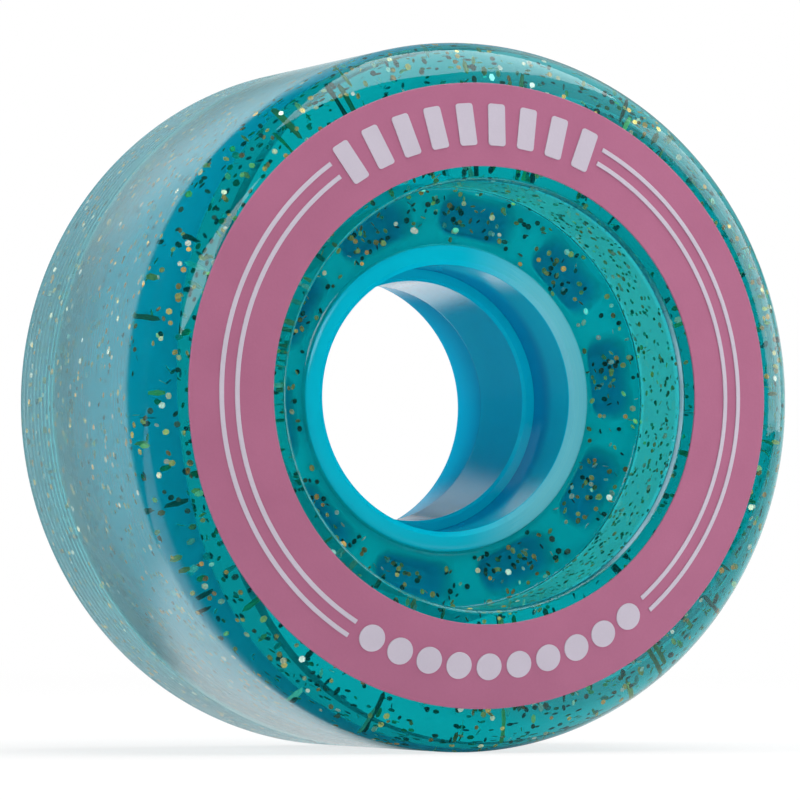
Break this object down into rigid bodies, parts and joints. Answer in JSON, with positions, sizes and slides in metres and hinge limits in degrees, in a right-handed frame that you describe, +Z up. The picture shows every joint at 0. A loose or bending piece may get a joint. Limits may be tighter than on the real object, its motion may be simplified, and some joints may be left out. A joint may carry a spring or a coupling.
{
  "type": "roller skate wheel",
  "caption": "Quad roller skate wheel: clear tinted tyre with gold flakes cast on a moulded core, printed front face, deep dish and open bearing seats.",
  "frame": {"origin": "the wheel's centre, on the spin axis and midway between the two faces", "axes": "+Y along the spin axis from the printed front face to the back, +Z up, +X to the right seen from the front"},
  "size_m": [0.058, 0.032, 0.058],
  "materials": {
    "core": "moulded nylon, satin gloss, sky blue",
    "tyre": "clear teal polyurethane with gold flakes, glossy faces, frosted tread",
    "band_ink": "printed ink, satin dusky pink",
    "white_ink": "printed ink, satin pale lilac white"
  },
  "bodies": {
    "root": {"core": "core", "tyre": "tyre", "print_band": "band_ink", "stripe_left": "white_ink", "stripe_right": "white_ink", "motif_top": "white_ink", "motif_bottom": "white_ink"}
  },
  "joints": []
}
